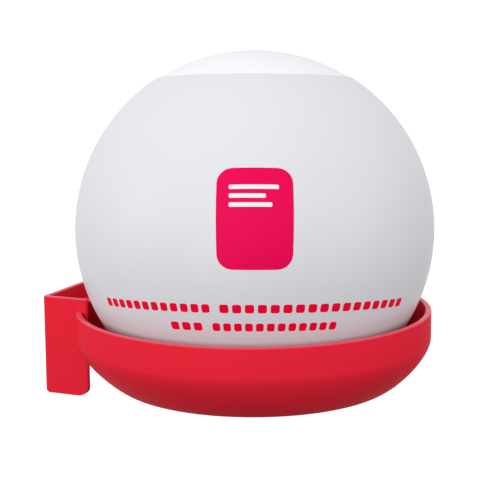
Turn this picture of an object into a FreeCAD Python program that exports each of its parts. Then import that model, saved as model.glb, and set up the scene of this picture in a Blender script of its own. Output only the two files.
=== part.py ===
"""Fire extinguisher ball, 150 mm, in a red wall holder.

Millimetres. The origin is the middle of the wall plate's back face, on the wall.
+Y points into the wall, -Y into the room, +Z is up.
"""
import FreeCAD, Part
import math
import os

os.makedirs("parts", exist_ok=True)

Vector = FreeCAD.Vector
UP = Vector(0, 0, 1)

# Ball: a foam ball under a shrunk film sleeve
BALL_RADIUS = 75.0
FILM_THICKNESS = 0.4
FILM_CLEARANCE = 0.1
FILM_TOP_OPENING_RADIUS = 41.0
FILM_BOTTOM_OPENING_RADIUS = 28.0

# The ball is loose in its dish, and lies leaning back a little from the side that its print faces
BALL_LEAN = 6.8
BALL_LEAN_AZIMUTH = 20.0

# Foam shells: two halves with a stepped seam at the equator
FOAM_WALL = 9.0
SEAM_STEP_WIDTH = 3.5
SEAM_STEP_DEPTH = 4.0
SEAM_CLEARANCE = 0.2

# Fuse: a ring laid in a groove along the seam, and two leads to the middle
FUSE_DIAMETER = 3.0
FUSE_CLEARANCE = 0.15
FUSE_BELOW_SURFACE = 0.2
LEAD_TIP_IN_CHARGE = 3.0

# Burster: a card tube with a plug in each end, upright in the middle of the powder
TUBE_RADIUS = 12.0
TUBE_WALL = 1.5
TUBE_LENGTH = 50.0
PLUG_FLANGE = 2.5
PLUG_SPIGOT = 5.0
PLUG_CLEARANCE = 0.05
POWDER_CLEARANCE = 0.1

# Holder dish: thin wall, curved side, flat floor with a round seat for the ball
DISH_INSET = 0.6
DISH_WALL = 2.5
DISH_HEIGHT = 32.3
DISH_STRAIGHT_WALL = 10.2
DISH_WALL_FULLNESS = 0.42
DISH_FLOOR_FULLNESS = 0.12
RIM_EDGE_RADIUS = 0.6
FLOOR_THICKNESS = 2.5
FLOOR_RING_WIDTH = 17.7
SEAT_HOLE_RADIUS = 38.2
SEAT_BAND = 1.45
SEAT_CLEARANCE = 0.1

# Holder bracket: a plate on the wall and two cheeks that run into the dish
BRACKET_WIDTH = 75.0
BRACKET_HEIGHT = 41.8
PLATE_THICKNESS = 2.3
CHEEK_THICKNESS = 2.2
CHEEK_BALL_CLEARANCE = 0.4
BRACKET_BACK_RADIUS = 2.0
CHEEK_FRONT_RADIUS = 5.0
CHEEK_HEEL_RADIUS = 1.7
BRACKET_EDGE_RADIUS = 0.4
DISH_ABOVE_BRACKET_FOOT = 4.0
DISH_TO_PLATE = 5.2

# Screw pad: the solid web that ties the dish to the plate, with two screw holes
SCREW_SPACING = 30.0
SCREW_HOLE_RADIUS = 2.25
SCREW_BELOW_RIM = 5.6
HEAD_FLAT_RADIUS = 4.5
PAD_SIDE_MARGIN = 2.5
PAD_BELOW_RIM = 1.0

# Worked out from the sizes above
FOAM_RADIUS = BALL_RADIUS - FILM_THICKNESS - FILM_CLEARANCE
FOAM_INNER_RADIUS = FOAM_RADIUS - FOAM_WALL
SEAM_RADIUS = FOAM_INNER_RADIUS + SEAM_STEP_WIDTH
FUSE_RADIUS = FUSE_DIAMETER / 2
FUSE_HOLE_RADIUS = FUSE_RADIUS + FUSE_CLEARANCE
FUSE_RING_RADIUS = FOAM_RADIUS - FUSE_BELOW_SURFACE - FUSE_RADIUS
TUBE_BORE_RADIUS = TUBE_RADIUS - TUBE_WALL
LEAD_TIP_RADIUS = TUBE_BORE_RADIUS - LEAD_TIP_IN_CHARGE

DISH_RADIUS = BALL_RADIUS - DISH_INSET
DISH_INNER_RADIUS = DISH_RADIUS - DISH_WALL
FLAT_RADIUS = SEAT_HOLE_RADIUS + FLOOR_RING_WIDTH
SEAT_RADIUS = BALL_RADIUS + SEAT_CLEARANCE

AXIS_Y = -(PLATE_THICKNESS + DISH_TO_PLATE + DISH_RADIUS)
BRACKET_TOP_Z = BRACKET_HEIGHT / 2
BRACKET_FOOT_Z = -BRACKET_HEIGHT / 2
UNDERSIDE_Z = BRACKET_FOOT_Z + DISH_ABOVE_BRACKET_FOOT
FLOOR_Z = UNDERSIDE_Z + FLOOR_THICKNESS
RIM_Z = UNDERSIDE_Z + DISH_HEIGHT
CURVE_TOP_Z = RIM_Z - DISH_STRAIGHT_WALL
BALL_Z = FLOOR_Z - SEAT_BAND + math.sqrt(SEAT_RADIUS ** 2 - SEAT_HOLE_RADIUS ** 2)
BALL_CENTRE = Vector(0, AXIS_Y, BALL_Z)
SCREW_Z = RIM_Z - SCREW_BELOW_RIM


def save(shape, node):
    """Write one node as a STEP file."""
    shape.exportStep("parts/" + node + ".step")


def line(start, end):
    """A straight edge between two points."""
    return Part.LineSegment(start, end).toShape()


def arc(start, middle, end):
    """A circular edge through three points."""
    return Part.Arc(start, middle, end).toShape()


def revolve_about_ball(edges):
    """Turn a closed outline, drawn as (radius, 0, height) from the ball's centre, once round its axis."""
    face = Part.Face(Part.Wire(edges))
    solid = face.revolve(Vector(0, 0, 0), UP, 360)
    solid.translate(BALL_CENTRE)
    return solid


def ball(radius):
    """A solid ball about the ball's centre."""
    return Part.makeSphere(radius, BALL_CENTRE)


def lean(shape):
    """Turn a piece of the ball about the ball's centre, to lie as the ball lies in its dish."""
    azimuth = math.radians(BALL_LEAN_AZIMUTH)
    level_axis = Vector(-math.sin(azimuth), math.cos(azimuth), 0)
    return shape.rotated(BALL_CENTRE, level_axis, BALL_LEAN)


def disc(radius, bottom, top):
    """An upright cylinder on the ball's axis, between two heights above the ball's centre."""
    foot = BALL_CENTRE + Vector(0, 0, bottom)
    return Part.makeCylinder(radius, top - bottom, foot, UP)


def lead_rod(radius, inner, outer, side):
    """A level rod out along one side of the ball, between two distances from its axis."""
    start = BALL_CENTRE + Vector(side * inner, 0, 0)
    return Part.makeCylinder(radius, outer - inner, start, Vector(side, 0, 0))


def film_sleeve():
    """The printed shrink film: a thin zone of the ball, open round both poles."""
    outer = BALL_RADIUS
    inner = BALL_RADIUS - FILM_THICKNESS
    top = math.acos(FILM_TOP_OPENING_RADIUS / outer)
    bottom = -math.acos(FILM_BOTTOM_OPENING_RADIUS / outer)

    def at(radius, latitude):
        return Vector(radius * math.cos(latitude), 0, radius * math.sin(latitude))

    return revolve_about_ball([
        arc(at(outer, bottom), at(outer, 0), at(outer, top)),
        line(at(outer, top), at(inner, top)),
        arc(at(inner, top), at(inner, 0), at(inner, bottom)),
        line(at(inner, bottom), at(outer, bottom)),
    ])


def fuse_groove():
    """The channel round the seam: round at its bottom and open at the foam's surface."""
    inside = FUSE_RING_RADIUS - FUSE_HOLE_RADIUS
    outside = FOAM_RADIUS + FUSE_DIAMETER
    low = Vector(FUSE_RING_RADIUS, 0, -FUSE_HOLE_RADIUS)
    high = Vector(FUSE_RING_RADIUS, 0, FUSE_HOLE_RADIUS)
    low_out = Vector(outside, 0, -FUSE_HOLE_RADIUS)
    high_out = Vector(outside, 0, FUSE_HOLE_RADIUS)
    return revolve_about_ball([
        arc(low, Vector(inside, 0, 0), high),
        line(high, high_out),
        line(high_out, low_out),
        line(low_out, low),
    ])


def foam_ball():
    """The whole foam ball before it is parted, with its groove and the two lead holes."""
    shell = ball(FOAM_RADIUS).cut(ball(FOAM_INNER_RADIUS))
    holes = [lead_rod(FUSE_HOLE_RADIUS, 0, FOAM_RADIUS, side) for side in (-1, 1)]
    return shell.cut([fuse_groove()] + holes)


def upper_foam_shell(foam):
    """The top half, with the tongue that drops inside the lower half's rim."""
    half = foam.common(disc(2 * FOAM_RADIUS, 0, 2 * FOAM_RADIUS))
    tongue_foot = -SEAM_STEP_DEPTH + SEAM_CLEARANCE
    tongue = foam.common(disc(SEAM_RADIUS - SEAM_CLEARANCE, tongue_foot, 0))
    return half.fuse(tongue).removeSplitter()


def lower_foam_shell(foam):
    """The bottom half, with the step that takes the upper half's tongue."""
    half = foam.common(disc(2 * FOAM_RADIUS, -2 * FOAM_RADIUS, 0))
    return half.cut(disc(SEAM_RADIUS, -SEAM_STEP_DEPTH, 0))


def fuse_ring():
    """The fuse laid in the groove, so that fire on any side lights it."""
    return Part.makeTorus(FUSE_RING_RADIUS, FUSE_RADIUS, BALL_CENTRE, UP)


def fuse_lead(side):
    """The fuse from the ring to the burster, through the seam and the powder."""
    outer = FUSE_RING_RADIUS - FUSE_RADIUS - FUSE_CLEARANCE
    return lead_rod(FUSE_RADIUS, LEAD_TIP_RADIUS, outer, side)


def powder_charge():
    """The dry powder that fills the foam ball round the burster and its leads."""
    reach = TUBE_LENGTH / 2 + PLUG_FLANGE + POWDER_CLEARANCE
    pocket = disc(TUBE_RADIUS + POWDER_CLEARANCE, -reach, reach)
    leads = [lead_rod(FUSE_HOLE_RADIUS, 0, FOAM_RADIUS, side) for side in (-1, 1)]
    return ball(FOAM_INNER_RADIUS - POWDER_CLEARANCE).cut([pocket] + leads)


def burster_tube():
    """The tube of the burster, with a hole in each side for a lead."""
    half = TUBE_LENGTH / 2
    bore = disc(TUBE_BORE_RADIUS, -half, half)
    leads = [lead_rod(FUSE_HOLE_RADIUS, 0, TUBE_RADIUS + 1, side) for side in (-1, 1)]
    return disc(TUBE_RADIUS, -half, half).cut([bore] + leads)


def burster_plug(side):
    """A stepped plug: a flange on the tube's end and a spigot inside it."""
    end = TUBE_LENGTH / 2
    spigot_radius = TUBE_BORE_RADIUS - PLUG_CLEARANCE
    low, high = sorted((side * end, side * (end + PLUG_FLANGE)))
    flange = disc(TUBE_RADIUS, low, high)
    low, high = sorted((side * end, side * (end - PLUG_SPIGOT)))
    return flange.fuse(disc(spigot_radius, low, high)).removeSplitter()


def burst_charge():
    """The charge between the plugs, with a blind hole for each lead's tip."""
    reach = TUBE_LENGTH / 2 - PLUG_SPIGOT - PLUG_CLEARANCE
    tip = LEAD_TIP_RADIUS - FUSE_CLEARANCE
    leads = [lead_rod(FUSE_HOLE_RADIUS, tip, TUBE_RADIUS, side) for side in (-1, 1)]
    return disc(TUBE_BORE_RADIUS - PLUG_CLEARANCE, -reach, reach).cut(leads)


def side_curve(wall_radius, floor_height):
    """The dish's side: upright at the top, level at the floor, full between."""
    top = CURVE_TOP_Z - BALL_Z
    top_handle = DISH_WALL_FULLNESS * (top - floor_height)
    floor_handle = DISH_FLOOR_FULLNESS * (wall_radius - FLAT_RADIUS)
    poles = [
        Vector(wall_radius, 0, top),
        Vector(wall_radius, 0, top - top_handle),
        Vector(FLAT_RADIUS + floor_handle, 0, floor_height),
        Vector(FLAT_RADIUS, 0, floor_height),
    ]
    curve = Part.BezierCurve()
    curve.setPoles(poles)
    return curve.toShape(), poles[0], poles[-1]


def rim_corner(radius, side):
    """One rounded edge of the rim, as an arc and its two ends: on the wall, then on top."""
    rim = RIM_Z - BALL_Z
    edge = RIM_EDGE_RADIUS
    diagonal = edge * (1 - math.sqrt(0.5))
    on_wall = Vector(radius, 0, rim - edge)
    on_top = Vector(radius - side * edge, 0, rim)
    between = Vector(radius - side * diagonal, 0, rim - diagonal)
    return arc(on_wall, between, on_top), on_wall, on_top


def dish():
    """The thin dish, turned round the ball's axis, with the floor's hole still square."""
    floor = FLOOR_Z - BALL_Z
    underside = UNDERSIDE_Z - BALL_Z
    outer_corner, outer_wall, outer_top = rim_corner(DISH_RADIUS, 1)
    inner_corner, inner_wall, inner_top = rim_corner(DISH_INNER_RADIUS, -1)
    inner_side, inner_high, inner_low = side_curve(DISH_INNER_RADIUS, floor)
    outer_side, outer_high, outer_low = side_curve(DISH_RADIUS, underside)
    hole_top = Vector(SEAT_HOLE_RADIUS, 0, floor)
    hole_foot = Vector(SEAT_HOLE_RADIUS, 0, underside)
    return revolve_about_ball([
        outer_corner,
        line(outer_top, inner_top),
        inner_corner,
        line(inner_wall, inner_high),
        inner_side,
        line(inner_low, hole_top),
        line(hole_top, hole_foot),
        line(hole_foot, outer_low),
        outer_side,
        line(outer_high, outer_wall),
    ])


def cheek_depth():
    """How far the cheeks stand out from the wall: until their top corners near the ball."""
    inner_x = BRACKET_WIDTH / 2 - CHEEK_THICKNESS
    drop = BALL_Z - BRACKET_TOP_Z
    reach = BALL_RADIUS + CHEEK_BALL_CLEARANCE
    return -AXIS_Y - math.sqrt(reach ** 2 - inner_x ** 2 - drop ** 2)


def rounded_box(low, high, vertical_radius):
    """An upright box whose two back edges, at high Y, are rounded."""
    box = Part.makeBox(high.x - low.x, high.y - low.y, high.z - low.z, low)
    back = [e for e in box.Edges if is_upright(e) and abs(e.CenterOfMass.y - high.y) < 0.01]
    return box.makeFillet(vertical_radius, back)


def is_upright(edge):
    """Whether an edge runs along Z."""
    box = edge.BoundBox
    return box.ZLength > 1 and box.XLength < 0.01 and box.YLength < 0.01


def cheek_outline(depth):
    """The bracket seen from its side, as a solid: round toe and heel at the foot."""
    low = Vector(-BRACKET_WIDTH / 2 - 1, -depth, BRACKET_FOOT_Z)
    box = Part.makeBox(BRACKET_WIDTH + 2, depth, BRACKET_HEIGHT, low)
    for y, radius in ((-depth, CHEEK_FRONT_RADIUS), (0, CHEEK_HEEL_RADIUS)):
        corner = [e for e in box.Edges if e.BoundBox.XLength > BRACKET_WIDTH
                  and abs(e.CenterOfMass.y - y) < 0.01 and abs(e.CenterOfMass.z - BRACKET_FOOT_Z) < 0.01]
        box = box.makeFillet(radius, corner)
    return box


def bracket():
    """The plate and its two cheeks, as one channel open to the room."""
    half = BRACKET_WIDTH / 2
    depth = cheek_depth()
    outside = rounded_box(
        Vector(-half, -depth, BRACKET_FOOT_Z), Vector(half, 0, BRACKET_TOP_Z), BRACKET_BACK_RADIUS)
    inner = half - CHEEK_THICKNESS
    channel = Part.makeBox(
        2 * inner, depth, BRACKET_HEIGHT + 2, Vector(-inner, -depth - PLATE_THICKNESS, BRACKET_FOOT_Z - 1))
    return outside.cut(channel).common(cheek_outline(depth)).removeSplitter()


def soften(shape):
    """Round the bracket's long outer edges a little, as a moulding's are."""
    depth = cheek_depth()
    top = [e for e in shape.Edges if abs(e.BoundBox.ZMin - BRACKET_TOP_Z) < 0.01]
    front = [e for e in shape.Edges if is_upright(e) and abs(e.CenterOfMass.y + depth) < 0.01]
    return shape.makeFillet(BRACKET_EDGE_RADIUS, top + front)


def screw_pad():
    """The web between the plate and the dish's back wall, where the wall is upright."""
    half = SCREW_SPACING / 2 + HEAD_FLAT_RADIUS + PAD_SIDE_MARGIN
    front = -AXIS_Y - math.sqrt(DISH_INNER_RADIUS ** 2 - half ** 2)
    height = DISH_STRAIGHT_WALL - PAD_BELOW_RIM
    block = Part.makeBox(
        2 * half, front - PLATE_THICKNESS / 2, height, Vector(-half, -front, CURVE_TOP_Z))
    return block.cut(disc(DISH_INNER_RADIUS, -BALL_RADIUS, BALL_RADIUS))


def screw_cuts():
    """Both screw holes, each with a flat inside the dish for the screw's head."""
    near = SCREW_SPACING / 2 - HEAD_FLAT_RADIUS
    flat_y = AXIS_Y + math.sqrt(DISH_INNER_RADIUS ** 2 - near ** 2)
    cuts = []
    for side in (-1, 1):
        x = side * SCREW_SPACING / 2
        into_wall = Vector(0, 1, 0)
        cuts.append(Part.makeCylinder(
            HEAD_FLAT_RADIUS, DISH_RADIUS / 3, Vector(x, flat_y - DISH_RADIUS / 3, SCREW_Z), into_wall))
        cuts.append(Part.makeCylinder(SCREW_HOLE_RADIUS, 1 - flat_y, Vector(x, flat_y, SCREW_Z), into_wall))
    return cuts


def wall_holder():
    """Dish, bracket and screw pad as one moulding, seated to the ball."""
    body = dish().fuse([soften(bracket()), screw_pad()])
    return body.cut([ball(SEAT_RADIUS)] + screw_cuts())


def main():
    """Build every piece and write it."""
    foam = foam_ball()
    save(wall_holder(), "wall_holder")
    save(lean(film_sleeve()), "film_sleeve")
    save(lean(upper_foam_shell(foam)), "upper_foam_shell")
    save(lean(lower_foam_shell(foam)), "lower_foam_shell")
    save(lean(powder_charge()), "powder_charge")
    save(lean(burster_tube()), "burster_tube")
    save(lean(burster_plug(1)), "burster_top_plug")
    save(lean(burster_plug(-1)), "burster_bottom_plug")
    save(lean(burst_charge()), "burst_charge")
    save(lean(fuse_ring()), "fuse_ring")
    save(lean(fuse_lead(-1)), "fuse_lead_left")
    save(lean(fuse_lead(1)), "fuse_lead_right")


main()
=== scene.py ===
"""Fire extinguisher ball in its wall holder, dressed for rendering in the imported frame.

The ball is a white foam ball in a printed film sleeve. The holder is one red moulding with a soft sheen.
Everything is in metres, in the row frame: the wall is at y = 0, the room is at -Y, and +Z is up.
"""

import math

import bmesh
import bpy
from bpy.props import FloatProperty, FloatVectorProperty, PointerProperty
from mathutils import Matrix, Vector


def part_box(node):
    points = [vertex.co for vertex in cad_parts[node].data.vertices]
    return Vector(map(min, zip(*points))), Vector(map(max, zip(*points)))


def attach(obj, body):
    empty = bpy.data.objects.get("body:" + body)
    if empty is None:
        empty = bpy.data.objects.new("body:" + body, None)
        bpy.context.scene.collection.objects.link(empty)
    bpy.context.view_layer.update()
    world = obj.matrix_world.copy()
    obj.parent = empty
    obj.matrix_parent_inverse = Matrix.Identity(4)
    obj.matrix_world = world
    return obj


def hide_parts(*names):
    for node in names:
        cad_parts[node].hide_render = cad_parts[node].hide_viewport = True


bl_info = {
    "name": "Fire Extinguisher Ball",
    "version": (1, 0, 0),
    "blender": (4, 5, 0),
    "location": "View3D > Sidebar > Extinguisher Ball",
    "description": "Builds a fire extinguisher ball in a wall holder",
    "category": "Add Mesh",
}

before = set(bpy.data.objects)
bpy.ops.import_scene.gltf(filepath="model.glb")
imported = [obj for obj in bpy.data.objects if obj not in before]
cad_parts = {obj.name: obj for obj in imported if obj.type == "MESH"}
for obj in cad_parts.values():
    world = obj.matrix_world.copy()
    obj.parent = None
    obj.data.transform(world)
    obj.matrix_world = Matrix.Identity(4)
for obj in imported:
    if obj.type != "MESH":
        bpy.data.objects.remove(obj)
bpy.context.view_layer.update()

MM = 0.001
BODY = "root"
# The mesh attribute that tells the moulding's material where its thin top edges are, which get a painted highlight
# in their colour and a lower roughness
EDGE_GLOSS_AND_HIGHLIGHT = "edge_gloss_and_highlight"


def middle_of(node):
    """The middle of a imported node's box."""
    low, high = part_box(node)
    return (low + high) / 2


BALL_CENTRE = middle_of("fuse_ring")
FILM_LOW, FILM_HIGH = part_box("film_sleeve")
FILM_RADIUS = round((FILM_HIGH.x - FILM_LOW.x) / 2, 3)
HOLDER_LOW, HOLDER_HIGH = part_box("wall_holder")

# The view from which the photograph was taken: turned from the room side towards -X
VIEW_AZIMUTH = math.radians(-66.4)
TOWARDS_CAMERA = Vector((math.sin(VIEW_AZIMUTH), -math.cos(VIEW_AZIMUTH), 0))
PRINT_AZIMUTH = math.atan2(TOWARDS_CAMERA.y, TOWARDS_CAMERA.x)

# The ball is loose in its dish, and lies leaning back from the side that its print faces
BALL_LEAN = math.radians(6.8)
LEAN_AZIMUTH = math.radians(20.0)
LEVEL_AXIS = Vector((-math.sin(LEAN_AZIMUTH), math.cos(LEAN_AZIMUTH), 0))
LEAN = (
    Matrix.Translation(BALL_CENTRE) @ Matrix.Rotation(BALL_LEAN, 4, LEVEL_AXIS) @ Matrix.Translation(-BALL_CENTRE)
)


def linear(code):
    """An sRGB hex colour as a linear RGBA colour."""
    channels = [int(code[i:i + 2], 16) / 255 for i in (1, 3, 5)]
    return [c / 12.92 if c <= 0.04045 else ((c + 0.055) / 1.055) ** 2.4 for c in channels] + [1.0]


def colour_property(name, description, code):
    """A colour that the user can change, with an sRGB hex default."""
    return FloatVectorProperty(
        name=name, description=description, subtype="COLOR", size=4, min=0, max=1, default=linear(code))


def length_property(name, description, millimetres):
    """A length that the user can change, with its default in millimetres."""
    return FloatProperty(
        name=name, description=description, unit="LENGTH", subtype="DISTANCE", precision=5, min=0,
        default=millimetres * MM)


class BallSettings(bpy.types.PropertyGroup):
    """Sizes and colours of the ball."""

    film_radius: length_property("Film radius", "Outer radius of the film sleeve", FILM_RADIUS / MM)
    film_thickness: length_property("Film thickness", "Thickness of the shrink film", 0.4)
    film_top_opening: length_property("Top opening", "Radius of the film's upper opening", 41.0)
    film_bottom_opening: length_property("Bottom opening", "Radius of the film's lower opening", 28.0)
    foam_gap: length_property("Foam gap", "Gap between the film and the foam", 0.1)
    foam_wall: length_property("Foam wall", "Wall of the foam shells", 9.0)
    bead_size: length_property("Bead size", "Size of the foam's beads", 3.2)
    film_colour: colour_property("Film colour", "Colour of the film", "#E8E8EB")
    foam_colour: colour_property("Foam colour", "Colour of the foam", "#FDFDFE")


class PrintSettings(bpy.types.PropertyGroup):
    """Sizes and colours of the print on the film."""

    ink_height: length_property("Ink height", "How far the ink stands off the film", 0.03)
    mark_height: length_property("Mark height", "Height of one mark of a row", 3.6)
    mark_share: FloatProperty(
        name="Mark share", description="Share of a mark's pitch that is inked", subtype="FACTOR",
        min=0.1, max=1, default=0.72)
    panel_width: length_property("Panel width", "Width of the red panel", 29.8)
    panel_height: length_property("Panel height", "Height of the red panel", 39.8)
    mark_colour: colour_property("Mark colour", "Colour of the rows of marks", "#FF0038")
    panel_colour: colour_property("Panel colour", "Colour of the red panel", "#F40056")
    bar_colour: colour_property("Bar colour", "Colour of the bars on the panel", "#F4F6F6")


class HolderSettings(bpy.types.PropertyGroup):
    """Sizes and colours of the wall holder."""

    dish_radius: length_property("Dish radius", "Outer radius of the dish", 75.0)
    dish_wall: length_property("Dish wall", "Thickness of the dish's wall", 2.5)
    dish_height: length_property("Dish height", "Height of the dish", 32.3)
    straight_wall: length_property("Straight wall", "Height of the upright part of the wall", 11.8)
    wall_fullness: FloatProperty(
        name="Wall fullness", description="How far the side's curve keeps near the upright wall", subtype="FACTOR",
        min=0, max=1, default=0.34)
    floor_fullness: FloatProperty(
        name="Floor fullness", description="How far the side's curve keeps near the level floor", subtype="FACTOR",
        min=0, max=1, default=0.23)
    wall_offset: length_property("Wall offset", "How far the upright wall stands nearer to the room's wall", 0.8)
    rim_edge: length_property("Rim edge", "Radius of the rim's two edges", 0.6)
    floor_thickness: length_property("Floor", "Thickness of the dish's floor", 2.5)
    floor_ring: length_property("Floor ring", "Width of the flat floor round its hole", 17.7)
    seat_hole: length_property("Seat hole", "Radius of the hole in the dish's floor", 38.2)
    seat_gap: length_property("Seat gap", "Gap between the seat and the ball", 0.1)
    foot_gap: length_property("Foot gap", "Height of the dish above the bracket's foot", 4.0)
    plate_thickness: length_property("Plate", "Thickness of the wall plate", 2.3)
    cheek_thickness: length_property("Cheeks", "Thickness of the two cheeks", 2.2)
    cheek_ball_gap: length_property("Cheek gap", "Gap between the cheeks and the ball", 0.4)
    bracket_width: length_property("Bracket width", "Width over the two cheeks", 75.0)
    toe_radius: length_property("Toe radius", "Radius of the cheeks' lower front corner", 5.0)
    heel_radius: length_property("Heel radius", "Radius of the bracket's lower back edge", 2.8)
    back_radius: length_property("Back radius", "Radius of the bracket's upright back edges", 2.0)
    edge_radius: length_property("Edge radius", "Radius of the bracket's other edges", 0.6)
    plate_lift: length_property("Plate lift", "Height of the plate's lower edge above the cheeks' foot", 5.5)
    screw_spacing: length_property("Screw spacing", "Distance between the two screw holes", 30.0)
    screw_hole: length_property("Screw hole", "Radius of a screw hole", 2.25)
    screw_drop: length_property("Screw drop", "Height of the rim above the screw holes", 5.6)
    head_flat: length_property("Head flat", "Radius of the flat round a screw hole", 4.5)
    pad_margin: length_property("Pad margin", "Width of the screw pad beyond its flats", 2.5)
    pad_drop: length_property("Pad drop", "Height of the rim above the screw pad", 1.0)
    colour: colour_property("Colour", "Colour of the moulding", "#F0263A")
    # The edge colour is a painted highlight: the pale pink sheen of the rim and the bracket's top edges, put into
    # the base colour
    edge_highlight_colour: colour_property("Edge colour", "Colour of the moulding's thin top edges", "#F6566F")


class StageSettings(bpy.types.PropertyGroup):
    """The camera, the lights and the floor."""

    camera_distance: length_property("Camera distance", "From the ball's middle, level", 650.0)
    camera_height: length_property("Camera height", "Above the ball's middle", 107.4)
    lens: FloatProperty(
        name="Lens", description="Focal length in millimetres", subtype="DISTANCE_CAMERA", default=115.15)
    floor_drop: length_property("Floor drop", "From the ball's foot down to the floor", 120.0)
    roll: FloatProperty(
        name="Roll", description="How far the camera is rolled clockwise", subtype="ANGLE",
        default=math.radians(0.43))
    floor_glow: FloatProperty(
        name="Floor white", description="How much of the floor's white doesn't depend on the light",
        subtype="FACTOR", min=0, max=1, default=0.82)
    key_strength: FloatProperty(name="Key light", description="Power of the key light", unit="POWER", default=6.2)
    left_strength: FloatProperty(name="Left light", description="Power of the left light", unit="POWER", default=4.3)
    right_strength: FloatProperty(
        name="Right light", description="Power of the right light", unit="POWER", default=3.35)
    sky_strength: FloatProperty(name="Sky", description="Strength of the surrounding light", min=0, default=0.80)


def add_node(tree, kind, settings=None, **inputs):
    """Adds a node to a tree, sets its properties, and sets or links its inputs.

    An input is named by its socket, with underscores for spaces, or by its place as _0, _1 and so on.
    A value that is a socket is linked.
    """
    node = tree.nodes.new(kind)
    for key, value in (settings or {}).items():
        setattr(node, key, value)
    for key, value in inputs.items():
        place = key[1:]
        socket = node.inputs[int(place)] if place.isdigit() else node.inputs[key.replace("_", " ")]
        if isinstance(value, bpy.types.NodeSocket):
            tree.links.new(value, socket)
        else:
            socket.default_value = value
    return node


def new_material(name, **shader_values):
    """A material with one Principled shader, and its tree, shader and object coordinates."""
    material = bpy.data.materials.new(name)
    material.use_nodes = True
    tree = material.node_tree
    shader = tree.nodes["Principled BSDF"]
    for key, value in shader_values.items():
        shader.inputs[key.replace("_", " ")].default_value = value
    place = add_node(tree, "ShaderNodeTexCoord").outputs["Object"]
    return material, tree, shader, place


def bump(tree, shader, height, distance, strength=1.0):
    """Feeds a height, in metres of relief, to the shader's normal."""
    node = add_node(tree, "ShaderNodeBump", Height=height, Distance=distance, Strength=strength)
    tree.links.new(node.outputs["Normal"], shader.inputs["Normal"])


def varied(tree, colour, pattern, low, high, full=1.0):
    """A colour whose brightness follows a pattern: low where that is 0, and high where it is full."""
    value = add_node(tree, "ShaderNodeMapRange", Value=pattern, From_Max=full, To_Min=low, To_Max=high)
    tint = add_node(tree, "ShaderNodeHueSaturation", Color=tuple(colour), Value=value.outputs["Result"])
    return tint.outputs["Color"]


def moulded_abs():
    """Injection-moulded ABS: a deep red with a soft sheen, a faint orange peel, and glossier thin edges whose
    lighter colour is a painted highlight.
    """
    settings = bpy.context.scene.holder_settings
    material, tree, shader, place = new_material("moulded_red_abs", IOR=1.54, Specular_IOR_Level=0.05)
    peel_size = 1.6 * MM
    peel = add_node(tree, "ShaderNodeTexNoise", Vector=place, Scale=1 / peel_size, Detail=2.0)
    bump(tree, shader, peel.outputs["Fac"], 0.02 * MM, 0.5)
    flow_size = 30 * MM
    flow = add_node(tree, "ShaderNodeTexNoise", Vector=place, Scale=1 / flow_size, Detail=3.0)
    rough = add_node(tree, "ShaderNodeMapRange", Value=flow.outputs["Fac"], To_Min=0.58, To_Max=0.66)
    thin = add_node(tree, "ShaderNodeAttribute", {"attribute_name": EDGE_GLOSS_AND_HIGHLIGHT})
    edge_roughness = 0.2
    glossier = add_node(tree, "ShaderNodeMix", _0=thin.outputs["Fac"], _2=rough.outputs["Result"], _3=edge_roughness)
    tree.links.new(glossier.outputs[0], shader.inputs["Roughness"])
    red = varied(tree, settings.colour, flow.outputs["Fac"], 0.97, 1.03)
    # Painted highlight: the thin top edges get a lighter pink base colour that stands in for the sheen they reflect
    painted_edge_highlight = add_node(tree, "ShaderNodeMix", {"data_type": "RGBA"}, _0=thin.outputs["Fac"], _6=red,
                     _7=tuple(settings.edge_highlight_colour))
    tree.links.new(painted_edge_highlight.outputs[2], shader.inputs["Base Color"])
    return material


def shrink_film():
    """White PVC shrink film: satin, with a very faint unevenness where it is drawn over the foam."""
    settings = bpy.context.scene.ball_settings
    material, tree, shader, place = new_material("white_pvc_film", IOR=1.53, Roughness=0.45, Specular_IOR_Level=0.3)
    shader.inputs["Base Color"].default_value = settings.film_colour
    bead = add_node(tree, "ShaderNodeTexVoronoi", {"feature": "SMOOTH_F1"}, Vector=place,
                    Scale=1 / settings.bead_size, Smoothness=0.6)
    bump(tree, shader, bead.outputs["Distance"], 0.03 * MM, 0.35)
    return material


def bead_foam():
    """Moulded EPS: matt white, with the outlines of its pressed beads showing faintly."""
    settings = bpy.context.scene.ball_settings
    material, tree, shader, place = new_material("white_eps_foam", IOR=1.45, Roughness=0.75)
    beads = add_node(tree, "ShaderNodeTexVoronoi", {"feature": "DISTANCE_TO_EDGE"}, Vector=place,
                     Scale=1 / settings.bead_size)
    seam = add_node(tree, "ShaderNodeMapRange", Value=beads.outputs["Distance"], From_Max=0.12)
    bump(tree, shader, seam.outputs["Result"], 0.06 * MM, 0.5)
    white = varied(tree, settings.foam_colour, beads.outputs["Distance"], 0.985, 1.0, full=0.1)
    tree.links.new(white, shader.inputs["Base Color"])
    return material


def printing_ink(name, colour):
    """Gravure ink on the film: an even, nearly matt colour with a faint dot grain."""
    material, tree, shader, place = new_material(name, IOR=1.5, Roughness=0.55, Specular_IOR_Level=0.08)
    dot_size = 0.35 * MM
    dots = add_node(tree, "ShaderNodeTexNoise", Vector=place, Scale=1 / dot_size, Detail=1.0)
    tree.links.new(varied(tree, colour, dots.outputs["Fac"], 0.97, 1.03), shader.inputs["Base Color"])
    return material


def grains(name, code, size, roughness, relief):
    """Packed powder or grain: matt, speckled at the size of its grains."""
    material, tree, shader, place = new_material(name, Roughness=roughness)
    speckle = add_node(tree, "ShaderNodeTexNoise", Vector=place, Scale=1 / size, Detail=4.0)
    tree.links.new(varied(tree, linear(code), speckle.outputs["Fac"], 0.8, 1.15), shader.inputs["Base Color"])
    bump(tree, shader, speckle.outputs["Fac"], relief)
    return material


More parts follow.
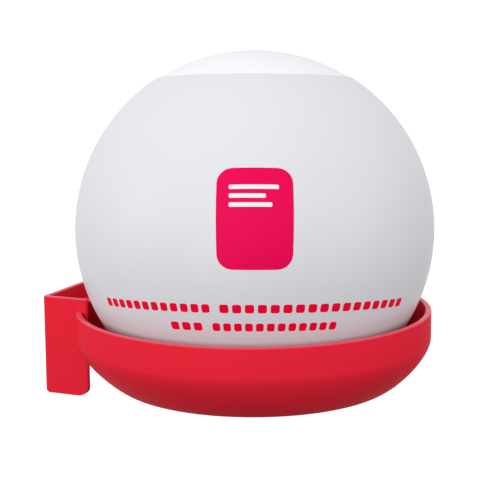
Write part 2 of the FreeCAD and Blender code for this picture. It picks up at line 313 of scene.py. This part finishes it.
def wound_card():
    """Spiral-wound kraft card: matt brown, with the turns of its strip showing as bands."""
    material, tree, shader, place = new_material("wound_kraft_card", Roughness=0.8)
    strip = 9 * MM
    turns = add_node(tree, "ShaderNodeTexWave", {"bands_direction": "Z"}, Vector=place,
                     Scale=math.pi / (10 * strip), Distortion=1.5, Detail=2.0)
    tree.links.new(varied(tree, linear("#A98659"), turns.outputs["Fac"], 0.85, 1.08), shader.inputs["Base Color"])
    return material


def lacquered_fuse():
    """Braided fuse cord in green lacquer: a fine cross weave under a soft sheen."""
    material, tree, shader, place = new_material("green_lacquered_fuse", Roughness=0.5)
    thread = 0.6 * MM
    weave = add_node(tree, "ShaderNodeTexVoronoi", Vector=place, Scale=1 / thread)
    tree.links.new(varied(tree, linear("#2F6B3C"), weave.outputs["Distance"], 1.1, 0.7), shader.inputs["Base Color"])
    bump(tree, shader, weave.outputs["Distance"], 0.1 * MM, 0.6)
    return material


def natural_plastic():
    """Unpigmented polyethylene: milky, slightly see-through at its edges."""
    material, tree, shader, place = new_material(
        "natural_polyethylene", IOR=1.51, Roughness=0.45, Subsurface_Weight=0.2, Subsurface_Scale=1 * MM)
    cloud_size = 6 * MM
    cloud = add_node(tree, "ShaderNodeTexNoise", Vector=place, Scale=1 / cloud_size)
    tree.links.new(varied(tree, linear("#DCDCD4"), cloud.outputs["Fac"], 0.95, 1.04), shader.inputs["Base Color"])
    return material


def mesh_object(name, mesh, material, of_ball=False):
    """Links a mesh to the scene as an object at the origin, with one material. The ball's pieces are leaned."""
    if of_ball:
        mesh.transform(LEAN)
    piece = bpy.data.objects.new(name, mesh)
    bpy.context.scene.collection.objects.link(piece)
    mesh.materials.clear()
    mesh.materials.append(material)
    return piece


def finish_piece(piece, replaced=()):
    """Makes a piece ride on the body, and hides the nodes that it stands for."""
    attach(piece, BODY)
    if replaced:
        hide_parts(*replaced)


def arc_points(radius, start, end, count):
    """Points (radius, height) on an arc about the ball's middle, from one latitude to another."""
    steps = [start + (end - start) * i / count for i in range(count + 1)]
    return [(radius * math.cos(a), radius * math.sin(a)) for a in steps]


def lathe(outline, segments):
    """Turns a closed outline of (radius, height) points about the ball's upright axis.

    A point on the axis becomes one pole vertex.
    """
    made = bmesh.new()
    rings = []
    for radius, height in outline:
        if radius < 1e-7:
            rings.append([made.verts.new(BALL_CENTRE + Vector((0, 0, height)))])
            continue
        turn = [2 * math.pi * i / segments for i in range(segments)]
        rings.append([
            made.verts.new(BALL_CENTRE + Vector((radius * math.cos(a), radius * math.sin(a), height)))
            for a in turn])
    for lower, upper in zip(rings, rings[1:] + rings[:1]):
        if len(lower) == 1 and len(upper) == 1:
            continue
        for i in range(segments):
            j = (i + 1) % segments
            corners = [lower[i % len(lower)], lower[j % len(lower)], upper[j % len(upper)], upper[i % len(upper)]]
            made.faces.new(list(dict.fromkeys(corners)))
    return made


def to_mesh(made, name, smooth_angle=math.radians(35)):
    """Turns a bmesh into a mesh with outward faces, smooth but for its sharp edges."""
    bmesh.ops.recalc_face_normals(made, faces=made.faces)
    for face in made.faces:
        face.smooth = True
    for edge in made.edges:
        edge.smooth = len(edge.link_faces) == 2 and edge.calc_face_angle(0) < smooth_angle
    mesh = bpy.data.meshes.new(name)
    made.to_mesh(mesh)
    made.free()
    return mesh


class BALL_OT_film(bpy.types.Operator):
    """Builds the shrink film sleeve round the ball"""

    bl_idname = "extinguisher.film"
    bl_label = "Film Sleeve"

    def execute(self, context):
        ball = context.scene.ball_settings
        outer = ball.film_radius
        inner = outer - ball.film_thickness
        top = math.acos(ball.film_top_opening / outer)
        bottom = -math.acos(ball.film_bottom_opening / outer)
        outer_steps, inner_steps, segments = 96, 48, 224
        outline = arc_points(outer, bottom, top, outer_steps) + arc_points(inner, top, bottom, inner_steps)
        skin = to_mesh(lathe(outline, segments), "film_sleeve_skin")
        piece = mesh_object("film_sleeve_skin", skin, shrink_film(), of_ball=True)
        finish_piece(piece, ["film_sleeve"])
        return {"FINISHED"}


class BALL_OT_foam(bpy.types.Operator):
    """Builds the two foam half shells, with smooth outer faces"""

    bl_idname = "extinguisher.foam"
    bl_label = "Foam Shells"

    def execute(self, context):
        ball = context.scene.ball_settings
        outer = ball.film_radius - ball.film_thickness - ball.foam_gap
        inner = outer - ball.foam_wall
        foam = bead_foam()
        pole = math.pi / 2
        outer_steps, inner_steps, segments = 56, 28, 192
        for name, node, side in (
            ("upper_foam_skin", "upper_foam_shell", 1),
            ("lower_foam_skin", "lower_foam_shell", -1),
        ):
            outline = arc_points(outer, 0, pole, outer_steps) + arc_points(inner, pole, 0, inner_steps)
            outline = [(max(radius, 0), side * height) for radius, height in outline]
            piece = mesh_object(name, to_mesh(lathe(outline, segments), name), foam, of_ball=True)
            finish_piece(piece, [node])
        return {"FINISHED"}


def print_tree():
    """Geometry nodes that lay a row of rounded rectangles on the ball.

    Each is made flat, with its height kept as an attribute, set in its place, and then wrapped onto the sphere.
    """
    tree = bpy.data.node_groups.new("print_on_ball", "GeometryNodeTree")
    tree.interface.new_socket("Geometry", in_out="OUTPUT", socket_type="NodeSocketGeometry")
    for name, kind in (
        ("Count", "NodeSocketInt"), ("Start", "NodeSocketFloat"), ("End", "NodeSocketFloat"),
        ("Latitude", "NodeSocketFloat"), ("Width", "NodeSocketFloat"), ("Height", "NodeSocketFloat"),
        ("Corner", "NodeSocketFloat"), ("Radius", "NodeSocketFloat"), ("Ink", "NodeSocketFloat"),
        ("Detail", "NodeSocketInt"), ("Azimuth", "NodeSocketFloat"), ("Centre", "NodeSocketVector"),
        ("Material", "NodeSocketMaterial"),
    ):
        tree.interface.new_socket(name, in_out="INPUT", socket_type=kind)
    given = tree.nodes.new("NodeGroupInput").outputs

    def maths(operation, *values):
        slots = {f"_{i}": value for i, value in enumerate(values)}
        return add_node(tree, "ShaderNodeMath", {"operation": operation}, **slots).outputs[0]

    def vectors(operation, *values, output="Vector"):
        slots = {f"_{i}": value for i, value in enumerate(values)}
        return add_node(tree, "ShaderNodeVectorMath", {"operation": operation}, **slots).outputs[output]

    # One flat mark, twice the ink's height thick, half of it sunk in the film
    outline = add_node(tree, "GeometryNodeCurvePrimitiveQuadrilateral", Width=given["Width"], Height=given["Height"])
    rounded = add_node(tree, "GeometryNodeFilletCurve", {"mode": "POLY"}, Curve=outline.outputs[0],
                       Radius=given["Corner"], Count=5)
    filled = add_node(tree, "GeometryNodeFillCurve", Curve=rounded.outputs[0])
    fine = add_node(tree, "GeometryNodeSubdivideMesh", Mesh=filled.outputs[0], Level=given["Detail"])
    thick = maths("MULTIPLY", given["Ink"], 2.0)
    body = add_node(tree, "GeometryNodeExtrudeMesh", Mesh=fine.outputs[0], Offset_Scale=thick, Individual=False)
    underside = add_node(tree, "GeometryNodeFlipFaces", Mesh=fine.outputs[0])
    both = add_node(tree, "GeometryNodeJoinGeometry")
    tree.links.new(underside.outputs[0], both.inputs[0])
    tree.links.new(body.outputs["Mesh"], both.inputs[0])
    closed = add_node(tree, "GeometryNodeMergeByDistance", Geometry=both.outputs[0], Distance=1e-6)
    position = add_node(tree, "GeometryNodeInputPosition").outputs[0]
    flat_z = add_node(tree, "ShaderNodeSeparateXYZ", Vector=position).outputs["Z"]
    lift = maths("SUBTRACT", flat_z, given["Ink"])
    kept = add_node(tree, "GeometryNodeStoreNamedAttribute", {"data_type": "FLOAT", "domain": "POINT"},
                    Geometry=closed.outputs[0], Name="ink_lift", Value=lift)

    # The row's places, evenly spaced between its two ends
    line = add_node(tree, "GeometryNodeMeshLine", Count=given["Count"])
    index = add_node(tree, "GeometryNodeInputIndex").outputs[0]
    share = maths("DIVIDE", maths("ADD", index, 0.5), given["Count"])
    across = maths("MULTIPLY_ADD", share, maths("SUBTRACT", given["End"], given["Start"]), given["Start"])
    latitude = given["Latitude"]
    turn = maths("ADD", given["Azimuth"], across)
    level = maths("COSINE", latitude)
    outward = add_node(
        tree, "ShaderNodeCombineXYZ", X=maths("MULTIPLY", level, maths("COSINE", turn)),
        Y=maths("MULTIPLY", level, maths("SINE", turn)), Z=maths("SINE", latitude)).outputs[0]
    reach = vectors("SCALE", outward)
    tree.links.new(given["Radius"], reach.node.inputs["Scale"])
    places = add_node(tree, "GeometryNodeSetPosition", Geometry=line.outputs[0],
                      Position=vectors("ADD", reach, given["Centre"]))
    quarter = math.pi / 2
    facing = add_node(tree, "ShaderNodeCombineXYZ", X=maths("SUBTRACT", quarter, latitude),
                      Z=maths("ADD", turn, quarter))
    turned = add_node(tree, "FunctionNodeEulerToRotation", Euler=facing.outputs[0])
    row = add_node(tree, "GeometryNodeInstanceOnPoints", Points=places.outputs[0], Instance=kept.outputs[0],
                   Rotation=turned.outputs[0])
    real = add_node(tree, "GeometryNodeRealizeInstances", Geometry=row.outputs[0])

    # Wrap every point onto the sphere, at the height it had on the flat mark
    stored = add_node(tree, "GeometryNodeInputNamedAttribute", {"data_type": "FLOAT"}, Name="ink_lift")
    from_centre = vectors("NORMALIZE", vectors("SUBTRACT", position, given["Centre"]))
    on_ball = vectors("SCALE", from_centre)
    tree.links.new(maths("ADD", given["Radius"], stored.outputs[0]), on_ball.node.inputs["Scale"])
    wrapped = add_node(tree, "GeometryNodeSetPosition", Geometry=real.outputs[0],
                       Position=vectors("ADD", on_ball, given["Centre"]))
    painted = add_node(tree, "GeometryNodeSetMaterial", Geometry=wrapped.outputs[0], Material=given["Material"])
    result = tree.nodes.new("NodeGroupOutput")
    tree.links.new(painted.outputs[0], result.inputs[0])
    return tree


def run_tree(name, tree, values):
    """Runs a geometry tree with the values given by name, and returns its result as a plain object."""
    source = bpy.data.objects.new(name + "_source", bpy.data.meshes.new(name + "_source"))
    bpy.context.scene.collection.objects.link(source)
    modifier = source.modifiers.new("tree", "NODES")
    modifier.node_group = tree
    sockets = {s.name: s.identifier for s in tree.interface.items_tree if s.in_out == "INPUT"}
    for key, value in values.items():
        modifier[sockets[key]] = value
    depsgraph = bpy.context.evaluated_depsgraph_get()
    mesh = bpy.data.meshes.new_from_object(source.evaluated_get(depsgraph), depsgraph=depsgraph)
    bpy.data.objects.remove(source)
    piece = mesh_object(name, mesh, values["Material"], of_ball=True)
    if "ink_lift" in mesh.attributes:
        mesh.attributes.remove(mesh.attributes["ink_lift"])
    return piece


class BALL_OT_print(bpy.types.Operator):
    """Prints two rows of marks and a barred panel on the film"""

    bl_idname = "extinguisher.print"
    bl_label = "Print"

    def execute(self, context):
        ball = context.scene.ball_settings
        ink = context.scene.print_settings
        tree = print_tree()
        marks = printing_ink("red_mark_ink", ink.mark_colour)
        panel = printing_ink("crimson_panel_ink", ink.panel_colour)
        bars = printing_ink("white_bar_ink", ink.bar_colour)
        shared = {"Radius": ball.film_radius, "Azimuth": PRINT_AZIMUTH, "Centre": tuple(BALL_CENTRE)}
        # Each row: its name, how many marks, from and to which azimuth, and its latitude, in degrees
        rows = (
            ("print_upper_row_left", 12, -56.9, -13.7, -21.25),
            ("print_upper_row_right", 17, -11.6, 56.3, -21.25),
            ("print_lower_row_left", 3, -29.3, -16.9, -27.4),
            ("print_lower_row_right", 12, -14.4, 28.5, -27.4),
        )
        # Subdivisions that keep each flat shape, once it is wrapped, about 0.01 mm or less from the sphere
        mark_detail, panel_detail, bar_detail = 1, 4, 4
        mark_corner, panel_corner, bar_corner = 0.9 * MM, 6 * MM, 0.6 * MM
        for name, count, start, end, latitude in rows:
            pitch = math.radians(end - start) / count * ball.film_radius * math.cos(math.radians(latitude))
            width = pitch * ink.mark_share
            piece = run_tree(name, tree, {
                **shared, "Count": count, "Start": math.radians(start), "End": math.radians(end),
                "Latitude": math.radians(latitude), "Width": width, "Height": ink.mark_height,
                "Corner": mark_corner, "Ink": ink.ink_height, "Detail": mark_detail, "Material": marks})
            finish_piece(piece)
        plain = {**shared, "Count": 1, "Start": 0.0, "End": 0.0}
        panel_latitude = math.radians(5.55)
        piece = run_tree("print_panel", tree, {
            **plain, "Latitude": panel_latitude, "Width": ink.panel_width, "Height": ink.panel_height,
            "Corner": panel_corner, "Ink": ink.ink_height, "Detail": panel_detail, "Material": panel})
        finish_piece(piece)
        left_margin = 5.0 * MM
        bar_height = 1.7 * MM
        # Each bar: its width, and its height above the panel's middle, in millimetres
        for order, (width, rise) in enumerate(((19.0, 12.0), (14.0, 8.6), (16.5, 5.2))):
            middle = (left_margin + (width * MM - ink.panel_width) / 2) / ball.film_radius
            piece = run_tree(f"print_bar_{order + 1}", tree, {
                **plain, "Start": middle, "End": middle, "Latitude": panel_latitude + rise * MM / ball.film_radius,
                "Width": width * MM, "Height": bar_height, "Corner": bar_corner, "Ink": 2 * ink.ink_height,
                "Detail": bar_detail, "Material": bars})
            finish_piece(piece)
        return {"FINISHED"}


def bezier_points(poles, count):
    """Points along a cubic curve with four poles, both ends included."""
    points = []
    for i in range(count + 1):
        t = i / count
        weights = ((1 - t) ** 3, 3 * t * (1 - t) ** 2, 3 * t ** 2 * (1 - t), t ** 3)
        points.append(tuple(sum(w * p[axis] for w, p in zip(weights, poles)) for axis in (0, 1)))
    return points


def side_points(holder, wall_radius, flat_radius, top, floor):
    """The dish's curved side, from its upright top to its level floor."""
    steps = 28
    return bezier_points([
        (wall_radius, top),
        (wall_radius, top - holder.wall_fullness * (top - floor)),
        (flat_radius + holder.floor_fullness * (wall_radius - flat_radius), floor),
        (flat_radius, floor),
    ], steps)


def corner_points(centre, radius, start, end, count=5):
    """Points on a small arc, for a rounded edge."""
    steps = [math.radians(start + (end - start) * i / count) for i in range(count + 1)]
    return [(centre[0] + radius * math.cos(a), centre[1] + radius * math.sin(a)) for a in steps]


def dish_outline(holder, underside):
    """The dish's section as (radius, height) points, anticlockwise from the hole's foot."""
    seat = bpy.context.scene.ball_settings.film_radius + holder.seat_gap
    floor = underside + holder.floor_thickness
    rim = underside + holder.dish_height
    top = rim - holder.straight_wall
    inner = holder.dish_radius - holder.dish_wall
    flat = holder.seat_hole + holder.floor_ring
    edge = holder.rim_edge
    outer_side = side_points(holder, holder.dish_radius, flat, top, underside)
    inner_side = side_points(holder, inner, flat, top, floor)
    seat_low = -math.acos(holder.seat_hole / seat)
    seat_high = math.asin(floor / seat)
    seat_steps = 6
    return (
        [(holder.seat_hole, underside)]
        + outer_side[::-1]
        + corner_points((holder.dish_radius - edge, rim - edge), edge, 0, 90)
        + corner_points((inner + edge, rim - edge), edge, 90, 180)
        + inner_side
        + arc_points(seat, seat_high, seat_low, seat_steps)
    )


def dish_object(holder, underside):
    """The dish, whose upright wall stands a little off the axis of its floor."""
    segments = 256
    made = lathe(dish_outline(holder, underside), segments)
    foot = underside + BALL_CENTRE.z
    side = holder.dish_height - holder.straight_wall
    for corner in made.verts:
        share = min(1.0, max(0.0, (corner.co.z - foot) / side))
        corner.co.y += holder.wall_offset * share ** 2 * (3 - 2 * share)
    return scratch_object(made, "body")


def rounded_outline(corners, steps=6):
    """A flat outline whose corners are rounded. Each corner is its place and its radius."""
    points = []
    count = len(corners)
    for i in range(count):
        here, radius = Vector(corners[i][0]), corners[i][1]
        if radius <= 0:
            points.append(here)
            continue
        back = (Vector(corners[i - 1][0]) - here).normalized()
        ahead = (Vector(corners[(i + 1) % count][0]) - here).normalized()
        half = back.angle(ahead) / 2
        centre = here + (back + ahead).normalized() * (radius / math.sin(half))
        start = here + back * (radius / math.tan(half)) - centre
        end = here + ahead * (radius / math.tan(half)) - centre
        swing = start.angle(end)
        for k in range(steps + 1):
            share = k / steps
            mixed = start * math.sin((1 - share) * swing) + end * math.sin(share * swing)
            points.append(centre + mixed / math.sin(swing))
    return points


def inset(points, distance):
    """An anticlockwise flat outline, moved inwards."""
    moved = []
    for i, here in enumerate(points):
        back = (here - points[i - 1]).normalized()
        ahead = (points[(i + 1) % len(points)] - here).normalized()
        inwards = Vector((-back.y - ahead.y, back.x + ahead.x)).normalized()
        moved.append(here + inwards * (distance / inwards.dot(Vector((-back.y, back.x)))))
    return moved


def prism(points, low, high, place, edge=0.0):
    """A closed prism over a flat outline, whose upper edges may be rounded. place turns (u, v, w) into a point."""
    levels = [(points, low)]
    if edge:
        steps = 5
        for step in range(steps + 1):
            turn = math.pi / 2 * step / steps
            levels.append((inset(points, edge * (1 - math.cos(turn))), high - edge * (1 - math.sin(turn))))
    else:
        levels.append((points, high))
    made = bmesh.new()
    rings = [[made.verts.new(place(p.x, p.y, level)) for p in outline] for outline, level in levels]
    made.faces.new(rings[0])
    made.faces.new(rings[-1])
    for lower, upper in zip(rings, rings[1:]):
        for i in range(len(points)):
            j = (i + 1) % len(points)
            made.faces.new([lower[i], lower[j], upper[j], upper[i]])
    bmesh.ops.recalc_face_normals(made, faces=made.faces)
    return made


def scratch_object(made, name):
    """A temporary object of a bmesh, for a boolean step."""
    mesh = bpy.data.meshes.new(name)
    made.to_mesh(mesh)
    made.free()
    piece = bpy.data.objects.new(name, mesh)
    bpy.context.scene.collection.objects.link(piece)
    return piece


def combine(target, operation, others):
    """Joins to, cuts from or keeps what a target shares with other objects, which are then removed."""
    for other in others:
        modifier = target.modifiers.new("combine", "BOOLEAN")
        modifier.operation = operation
        modifier.solver = "EXACT"
        modifier.object = other
    depsgraph = bpy.context.evaluated_depsgraph_get()
    mesh = bpy.data.meshes.new_from_object(target.evaluated_get(depsgraph), depsgraph=depsgraph)
    target.modifiers.clear()
    target.data = mesh
    for other in others:
        bpy.data.objects.remove(other)


def bracket_object(holder):
    """The wall plate and its two cheeks, as one channel with softened edges."""
    foot, top = HOLDER_LOW.z, HOLDER_HIGH.z
    half = holder.bracket_width / 2
    inner = half - holder.cheek_thickness
    reach = bpy.context.scene.ball_settings.film_radius + holder.cheek_ball_gap
    rise = BALL_CENTRE.z - top
    front = BALL_CENTRE.y + math.sqrt(reach ** 2 - inner ** 2 - rise ** 2)
    # Just under half the thickness, so that the two roundings of an end don't meet
    end_round = holder.cheek_thickness * 0.45
    plan = rounded_outline([
        ((-half, front), end_round),
        ((-inner, front), end_round),
        ((-inner, -holder.plate_thickness), end_round),
        ((inner, -holder.plate_thickness), end_round),
        ((inner, front), end_round),
        ((half, front), end_round),
        ((half, 0), holder.back_radius),
        ((-half, 0), holder.back_radius),
    ])
    # The side's outline stays a hair inside the plan's faces, so that no two faces lie in one plane
    spare = 0.01 * MM
    past = 1 * MM
    toe_steps = 10
    side = rounded_outline([
        ((front - spare, foot), holder.toe_radius),
        ((spare, foot), holder.heel_radius),
        ((spare, top + past), 0),
        ((front - spare, top + past), 0),
    ], toe_steps)
    channel = scratch_object(
        prism(plan, foot - past, top, lambda u, v, w: Vector((u, v, w)), holder.edge_radius), "channel")
    profile = scratch_object(prism(side, -half - past, half + past, lambda u, v, w: Vector((w, u, v))), "profile")
    combine(channel, "INTERSECT", [profile])
    corner = holder.toe_radius / 2
    half_notch = inner - corner
    lift = foot + holder.plate_lift
    notch = rounded_outline([
        ((-half_notch, foot - 2 * past), 0),
        ((half_notch, foot - 2 * past), 0),
        ((half_notch, lift), corner),
        ((-half_notch, lift), corner),
    ])
    opening = prism(notch, -holder.plate_thickness - 2 * past, past, lambda u, v, w: Vector((u, w, v)))
    combine(channel, "DIFFERENCE", [scratch_object(opening, "opening")])
    return channel


def rod(radius, start, end, segments=48):
    """A closed round rod between two points, as a temporary object."""
    made = bmesh.new()
    length = (end - start).length
    bmesh.ops.create_cone(made, cap_ends=True, segments=segments, radius1=radius, radius2=radius, depth=length)
    turn = (end - start).to_track_quat("Z", "Y").to_matrix().to_4x4()
    made.transform(Matrix.Translation((start + end) / 2) @ turn)
    return scratch_object(made, "rod")


def screw_pad_object(holder, rim):
    """The web between the plate and the dish's back, without the dish's inside."""
    inner = holder.dish_radius - holder.dish_wall
    half = holder.screw_spacing / 2 + holder.head_flat + holder.pad_margin
    middle = BALL_CENTRE.y + holder.wall_offset
    back = -holder.plate_thickness / 2
    foot = rim - holder.straight_wall
    steps = 24
    places = [half * (2 * i / steps - 1) for i in range(steps + 1)]
    wall = inner + holder.dish_wall / 2
    curve = [Vector((x, middle + math.sqrt(wall ** 2 - x ** 2))) for x in places]
    points = curve + [Vector((half, back)), Vector((-half, back))]
    return scratch_object(
        prism(points, foot, rim - holder.pad_drop, lambda u, v, w: Vector((u, v, w))), "pad")


def screw_cutters(holder, rim):
    """Rods for the two screw holes and for the flats inside the dish."""
    inner = holder.dish_radius - holder.dish_wall
    height = rim - holder.screw_drop
    near = holder.screw_spacing / 2 - holder.head_flat
    flat = BALL_CENTRE.y + holder.wall_offset + math.sqrt(inner ** 2 - near ** 2)
    past, into_dish = 1 * MM, 15 * MM
    cutters = []
    for x in (-holder.screw_spacing / 2, holder.screw_spacing / 2):
        cutters.append(rod(holder.screw_hole, Vector((x, flat - past, height)), Vector((x, past, height))))
        cutters.append(rod(holder.head_flat, Vector((x, flat - into_dish, height)), Vector((x, flat, height))))
    return cutters


def mark_edge_gloss_and_highlight(mesh, holder, rim):
    """Gives each point how much it is on a thin top edge, of the dish or of the bracket, where the material paints a
    highlight and lowers its roughness: 0 to 1.
    """
    near, flush = 0.1 * MM, 0.01 * MM
    thin = mesh.attributes.new(EDGE_GLOSS_AND_HIGHLIGHT, "FLOAT", "POINT")
    for vertex, mark in zip(mesh.vertices, thin.data):
        out = math.hypot(vertex.co.x, vertex.co.y - BALL_CENTRE.y - holder.wall_offset)
        on_rim = holder.dish_radius - holder.dish_wall - near < out < holder.dish_radius + near
        on_cheek = abs(holder.bracket_width / 2 - abs(vertex.co.x)) < flush and vertex.co.y > BALL_CENTRE.y
        if vertex.co.z < rim + near:
            share = (vertex.co.z - rim + holder.rim_edge) / holder.rim_edge if on_rim and not on_cheek else 0
        else:
            share = (vertex.co.z - HOLDER_HIGH.z + holder.edge_radius) / holder.edge_radius
        mark.value = min(1.0, max(0.0, share))


class BALL_OT_holder(bpy.types.Operator):
    """Builds the red wall holder: dish, bracket and screw pad as one moulding"""

    bl_idname = "extinguisher.holder"
    bl_label = "Wall Holder"

    def execute(self, context):
        holder = context.scene.holder_settings
        underside = HOLDER_LOW.z + holder.foot_gap - BALL_CENTRE.z
        rim = underside + holder.dish_height + BALL_CENTRE.z
        body = dish_object(holder, underside)
        combine(body, "UNION", [bracket_object(holder), screw_pad_object(holder, rim)])
        combine(body, "DIFFERENCE", screw_cutters(holder, rim))
        made = bmesh.new()
        made.from_mesh(body.data)
        bpy.data.objects.remove(body)
        bmesh.ops.remove_doubles(made, verts=made.verts, dist=0.001 * MM)
        piece = mesh_object("wall_holder_shell", to_mesh(made, "wall_holder_shell"), moulded_abs())
        mark_edge_gloss_and_highlight(piece.data, holder, rim)
        finish_piece(piece, ["wall_holder"])
        return {"FINISHED"}


class BALL_OT_core(bpy.types.Operator):
    """Gives the sealed inner pieces their finishes"""

    bl_idname = "extinguisher.core"
    bl_label = "Inner Pieces"

    def execute(self, context):
        plug = natural_plastic()
        fuse = lacquered_fuse()
        finishes = {
            "powder_charge": grains("pale_dry_powder", "#EBE3B8", 0.5 * MM, 0.9, 0.05 * MM),
            "burster_tube": wound_card(),
            "burster_top_plug": plug,
            "burster_bottom_plug": plug,
            "burst_charge": grains("dark_grained_charge", "#2B2B2C", 0.8 * MM, 0.7, 0.1 * MM),
            "fuse_ring": fuse,
            "fuse_lead_left": fuse,
            "fuse_lead_right": fuse,
        }
        for node, material in finishes.items():
            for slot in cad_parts[node].material_slots:
                slot.material = material
        return {"FINISHED"}


def seen_directly(tree):
    """1 for a ray from the camera, or from a glossy or clear surface that shows the background, and 0 for light."""
    rays = add_node(tree, "ShaderNodeLightPath").outputs
    direct = add_node(tree, "ShaderNodeMath", {"operation": "MAXIMUM"},
                      _0=rays["Is Camera Ray"], _1=rays["Is Glossy Ray"])
    shown = add_node(tree, "ShaderNodeMath", {"operation": "MAXIMUM"},
                     _0=direct.outputs[0], _1=rays["Is Transmission Ray"])
    return shown.outputs[0]


def stage_floor(settings):
    """A wide pale floor, well below the ball because a wall carries it. It bounces less light than it shows."""
    made = bmesh.new()
    half_side = 20.0
    bmesh.ops.create_grid(made, x_segments=1, y_segments=1, size=half_side)
    height = BALL_CENTRE.z - FILM_RADIUS - settings.floor_drop
    made.transform(Matrix.Translation((BALL_CENTRE.x, BALL_CENTRE.y, height)))
    floor = scratch_object(made, "floor")
    material = bpy.data.materials.new("pale_matt_floor")
    material.use_nodes = True
    tree = material.node_tree
    tree.nodes.clear()
    bounce = add_node(tree, "ShaderNodeBsdfDiffuse", Color=linear("#606060"))
    lit = add_node(tree, "ShaderNodeBsdfDiffuse", Color=linear("#969696"))
    glow = add_node(tree, "ShaderNodeEmission", Color=linear("#FFFFFF"), Strength=settings.floor_glow)
    pale = add_node(tree, "ShaderNodeAddShader", _0=lit.outputs[0], _1=glow.outputs[0])
    mixed = add_node(tree, "ShaderNodeMixShader", Fac=seen_directly(tree), _1=bounce.outputs[0], _2=pale.outputs[0])
    add_node(tree, "ShaderNodeOutputMaterial", Surface=mixed.outputs[0])
    floor.data.materials.append(material)


def stage_sky(settings):
    """Even surrounding light, with white for what the camera sees past the floor."""
    world = bpy.data.worlds.new("studio")
    bpy.context.scene.world = world
    world.use_nodes = True
    tree = world.node_tree
    tree.nodes.clear()
    light = add_node(tree, "ShaderNodeBackground", Color=linear("#FAFBFF"), Strength=settings.sky_strength)
    white = add_node(tree, "ShaderNodeBackground", Color=linear("#FFFFFF"), Strength=1.0)
    mixed = add_node(tree, "ShaderNodeMixShader", Fac=seen_directly(tree), _1=light.outputs[0], _2=white.outputs[0])
    add_node(tree, "ShaderNodeOutputWorld", Surface=mixed.outputs[0])


def soft_light(name, azimuth, power):
    """A square soft light that faces the ball, turned from the camera by an azimuth in degrees."""
    distance, size = 1.5, 0.7
    rise = math.radians(10)
    around = VIEW_AZIMUTH + math.radians(azimuth)
    back = Vector((math.sin(around) * math.cos(rise), -math.cos(around) * math.cos(rise), math.sin(rise)))
    data = bpy.data.lights.new(name, "AREA")
    data.shape = "SQUARE"
    data.size = size
    data.energy = power
    light = bpy.data.objects.new(name, data)
    light.location = BALL_CENTRE + back * distance
    light.rotation_mode = "QUATERNION"
    light.rotation_quaternion = (-back).to_track_quat("-Z", "Y")
    bpy.context.scene.collection.objects.link(light)


def stage_camera(settings):
    """The photograph's view, turned to put the ball where the picture has it, with no shift."""
    picture = 490
    # Where the photograph has the ball's middle, in pixels from its upper left corner
    ball_x, ball_y = 254.76, 228.81
    sensor = 36.0
    data = bpy.data.cameras.new("camera")
    data.sensor_width = sensor
    data.lens = settings.lens
    data.clip_start = 0.01
    camera = bpy.data.objects.new("camera", data)
    eye = TOWARDS_CAMERA * settings.camera_distance + Vector((0, 0, settings.camera_height))
    camera.location = BALL_CENTRE + eye
    pixel = sensor / picture / settings.lens
    right = (ball_x - picture / 2) * pixel
    up = (picture / 2 - ball_y) * pixel
    drop = math.atan2(settings.camera_height, settings.camera_distance) + math.atan(up)
    aside = math.atan(right / math.hypot(1, up))
    turn = (
        Matrix.Rotation(VIEW_AZIMUTH + aside / math.cos(drop), 4, "Z")
        @ Matrix.Rotation(math.pi / 2 - drop, 4, "X")
        @ Matrix.Rotation(-settings.roll, 4, "Z")
    )
    camera.rotation_euler = turn.to_euler()
    bpy.context.scene.collection.objects.link(camera)
    bpy.context.scene.camera = camera


class BALL_OT_stage(bpy.types.Operator):
    """Sets up the floor, the soft light, the sky and the camera"""

    bl_idname = "extinguisher.stage"
    bl_label = "Stage"

    def execute(self, context):
        settings = context.scene.stage_settings
        context.scene.view_settings.view_transform = "Standard"
        stage_floor(settings)
        stage_sky(settings)
        soft_light("key_light", -15, settings.key_strength)
        soft_light("left_light", -75, settings.left_strength)
        soft_light("right_light", 58, settings.right_strength)
        stage_camera(settings)
        return {"FINISHED"}


PIECES = (BALL_OT_film, BALL_OT_foam, BALL_OT_print, BALL_OT_holder, BALL_OT_core, BALL_OT_stage)
GROUPS = {
    "ball_settings": BallSettings,
    "print_settings": PrintSettings,
    "holder_settings": HolderSettings,
    "stage_settings": StageSettings,
}


class BALL_PT_panel(bpy.types.Panel):
    """Lists the pieces and their settings in the sidebar"""

    bl_idname = "BALL_PT_panel"
    bl_label = "Extinguisher Ball"
    bl_space_type = "VIEW_3D"
    bl_region_type = "UI"
    bl_category = "Extinguisher Ball"

    def draw(self, context):
        for piece in PIECES:
            self.layout.operator(piece.bl_idname)
        for attribute, group in GROUPS.items():
            box = self.layout.box()
            box.label(text=group.bl_rna.description)
            for name in group.__annotations__:
                box.prop(getattr(context.scene, attribute), name)


def register():
    """Registers every class and hangs the settings on the scene."""
    for group in GROUPS.values():
        bpy.utils.register_class(group)
    for piece in PIECES:
        bpy.utils.register_class(piece)
    bpy.utils.register_class(BALL_PT_panel)
    for attribute, group in GROUPS.items():
        setattr(bpy.types.Scene, attribute, PointerProperty(type=group))


def unregister():
    """Takes the settings off the scene and unregisters every class."""
    for attribute in GROUPS:
        delattr(bpy.types.Scene, attribute)
    bpy.utils.unregister_class(BALL_PT_panel)
    for cls in reversed((*GROUPS.values(), *PIECES)):
        bpy.utils.unregister_class(cls)


def main():
    """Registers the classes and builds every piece."""
    register()
    bpy.ops.extinguisher.film()
    bpy.ops.extinguisher.foam()
    bpy.ops.extinguisher.print()
    bpy.ops.extinguisher.holder()
    bpy.ops.extinguisher.core()
    bpy.ops.extinguisher.stage()


if __name__ == "__main__":
    main()
